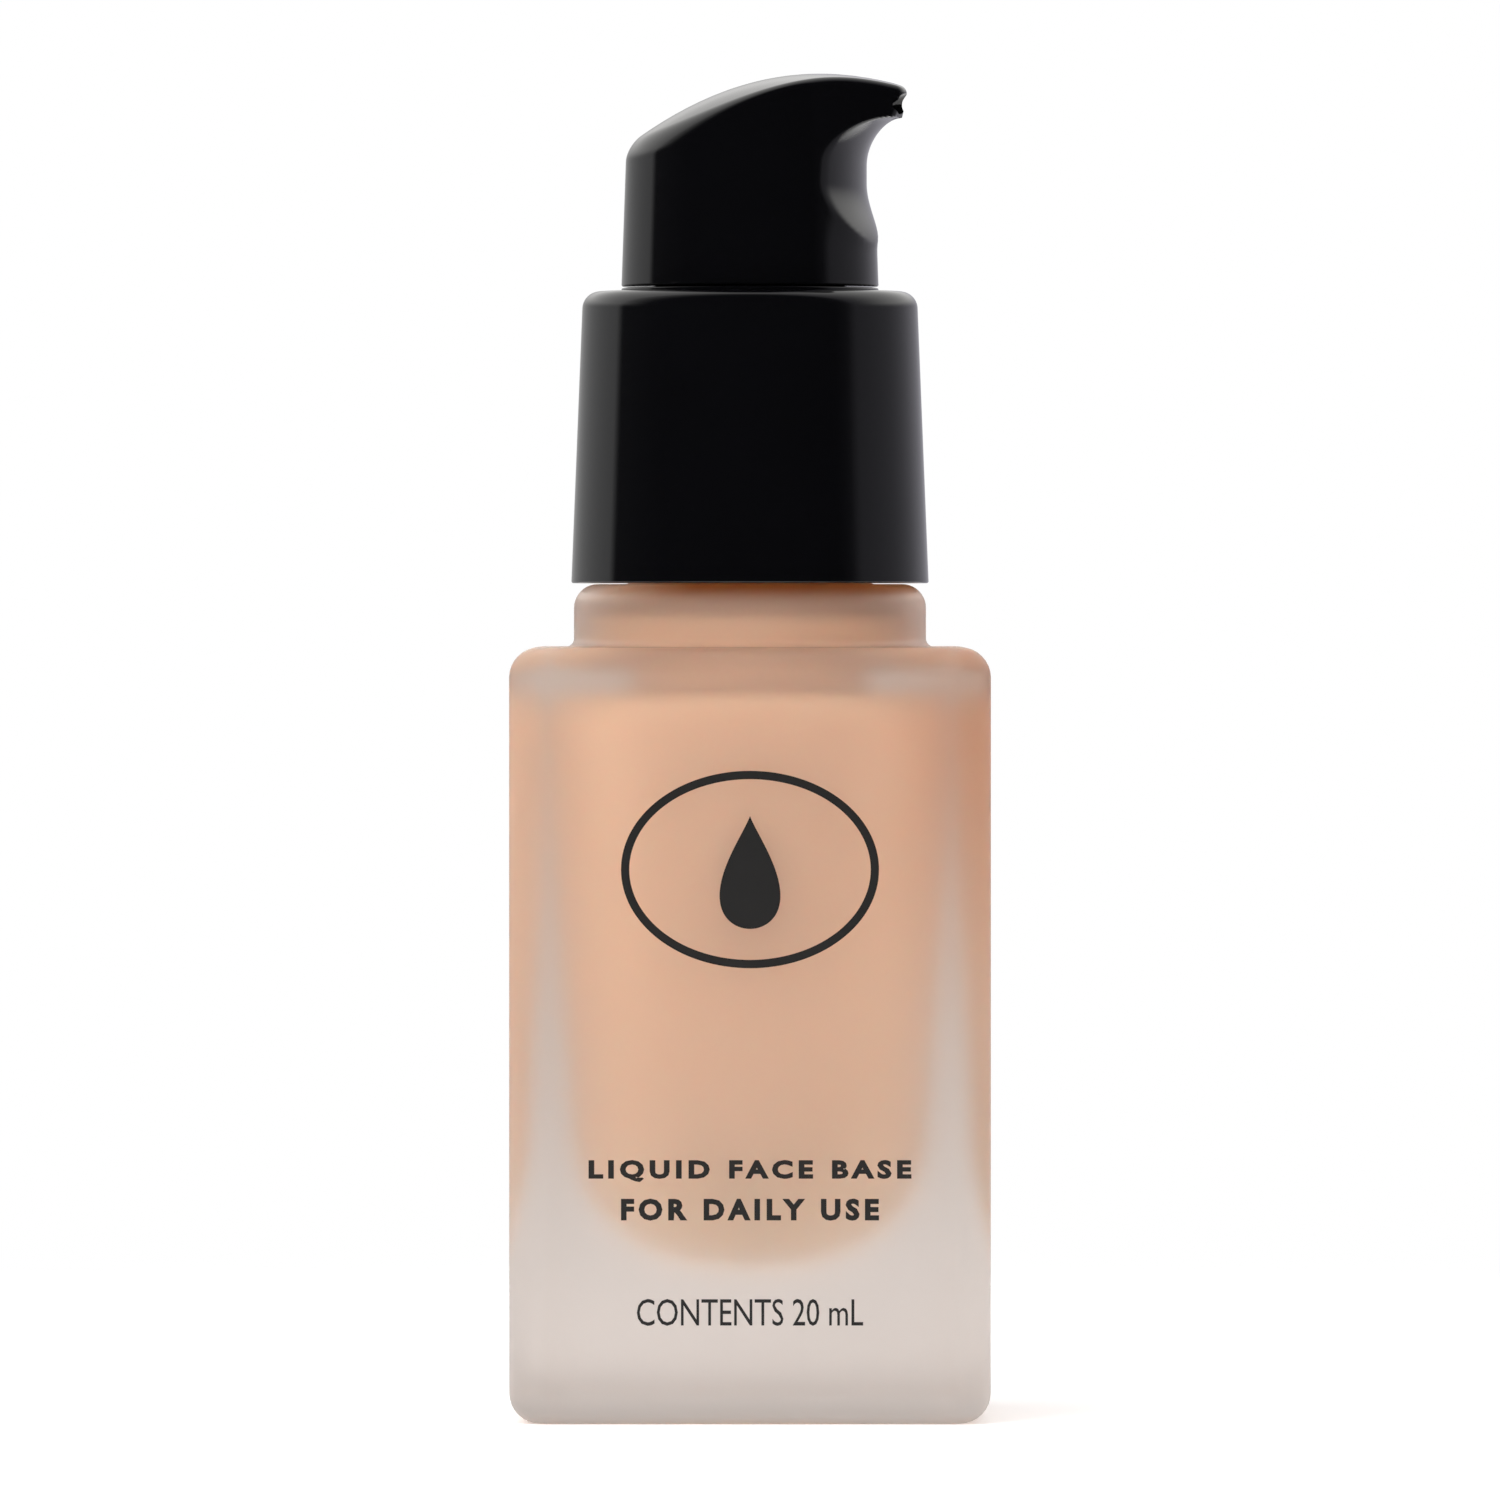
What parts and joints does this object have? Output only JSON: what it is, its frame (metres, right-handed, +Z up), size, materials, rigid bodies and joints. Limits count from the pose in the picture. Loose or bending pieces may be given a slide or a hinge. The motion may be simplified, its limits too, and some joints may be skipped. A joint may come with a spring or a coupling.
{
  "type": "foundation bottle",
  "caption": "Square frosted glass bottle for liquid make-up, with a round screw-on treatment pump in gloss black and a beaked push-down head.",
  "frame": {"origin": "centre of the flat base, on the bottle's axis, on the surface it stands on", "axes": "+Z up along the bottle, +X the way the nozzle points, -Y the printed front"},
  "size_m": [0.035, 0.035, 0.0984],
  "materials": {
    "frosted_glass": "clear soda-lime glass, acid-etched to a fine satin frost outside",
    "gloss_black": "black polypropylene, polished mould, high gloss",
    "natural_polypropylene": "uncoloured polypropylene, slightly milky",
    "foam_seal": "white foamed polyethylene seal",
    "soft_polyethylene": "white soft polyethylene",
    "clear_polyethylene": "uncoloured extruded polyethylene, translucent",
    "steel": "stainless steel, bright drawn",
    "foundation_liquid": "opaque peach-beige cosmetic emulsion",
    "black_ink": "screen-printed black ink"
  },
  "bodies": {
    "bottle": {"bottle": "frosted_glass"},
    "pump_engine": {"pump_housing": "natural_polypropylene", "neck_gasket": "foam_seal", "chaplet": "natural_polypropylene", "dip_tube": "clear_polyethylene", "return_spring": "steel"},
    "closure": {"screw_cap": "gloss_black", "collar_shell": "gloss_black"},
    "stem": {"upper_stem": "natural_polypropylene", "lower_stem": "natural_polypropylene"},
    "piston": {"piston": "soft_polyethylene"},
    "ball": {"check_ball": "steel"},
    "head": {"actuator_core": "gloss_black", "actuator_shell": "gloss_black"}
  },
  "joints": [
    {"name": "pump_lift", "type": "slide", "parent": "bottle", "child": "pump_engine", "axis": [0, 0, 1], "range_m": [0, 0.0622]},
    {"name": "closure_turn", "type": "hinge", "parent": "pump_engine", "child": "closure", "pos_m": [0, 0, 0.0666], "axis": [0, 0, 1], "range_deg": [0, 7030]},
    {"name": "head_press", "type": "slide", "parent": "pump_engine", "child": "stem", "axis": [0, 0, -1], "range_m": [0, 0.004], "stiffness_N_per_m": 1500, "springref_m": -0.004, "deforming": ["return_spring"]},
    {"name": "head_swivel", "type": "hinge", "parent": "stem", "child": "head", "pos_m": [0, 0, 0.083], "axis": [0, 0, 1], "continuous": true},
    {"name": "piston_lag", "type": "slide", "parent": "stem", "child": "piston", "axis": [0, 0, 1], "range_m": [0, 0.0007]},
    {"name": "ball_lift", "type": "slide", "parent": "pump_engine", "child": "ball", "axis": [0, 0, 1], "range_m": [0, 0.001]}
  ],
  "couplings": [
    {"joint": "pump_lift", "follows": "closure_turn", "m_per_rad": 0.00050532}
  ]
}
